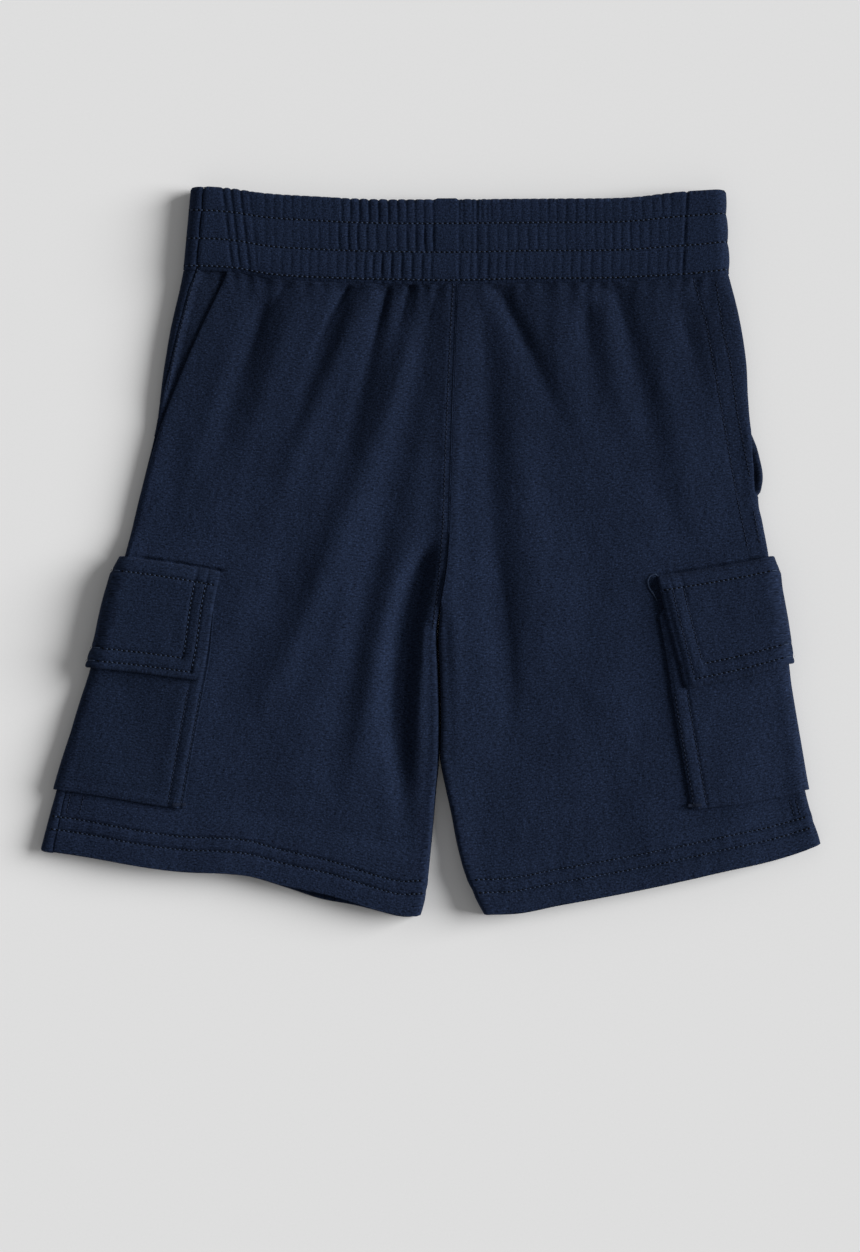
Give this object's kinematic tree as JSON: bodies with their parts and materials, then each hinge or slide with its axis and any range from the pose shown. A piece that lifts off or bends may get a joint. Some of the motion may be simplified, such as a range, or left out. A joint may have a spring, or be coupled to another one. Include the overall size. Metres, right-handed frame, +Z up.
{
  "type": "cargo shorts",
  "caption": "Child's fleece cargo shorts laid flat, with gathered elastic waistband, slanted hand pockets and flapped cargo pockets on the sides.",
  "frame": {"origin": "on the surface the garment lies on, under the middle of its box", "axes": "+Z up, through the cloth, the thin way; +X across the hips to the right as seen from above, the widest way; +Y from the hems to the waist"},
  "size_m": [0.391, 0.3652, 0.0158],
  "materials": {
    "body_fleece": "navy brushed fleece knit, matt",
    "band_fleece": "navy fleece knit gathered over elastic, matt",
    "pocket_fleece": "navy brushed fleece knit, matt",
    "facing_fleece": "navy fleece knit in shadow, matt"
  },
  "bodies": {
    "root": {"waistband_front": "band_fleece", "waistband_back": "band_fleece", "front_left": "body_fleece", "front_right": "body_fleece", "back_left": "body_fleece", "back_right": "body_fleece", "facing_left": "facing_fleece", "facing_right": "facing_fleece", "cargo_pocket_left": "pocket_fleece", "cargo_pocket_right": "pocket_fleece", "cargo_flap_left": "pocket_fleece", "cargo_flap_right": "pocket_fleece"}
  },
  "joints": []
}
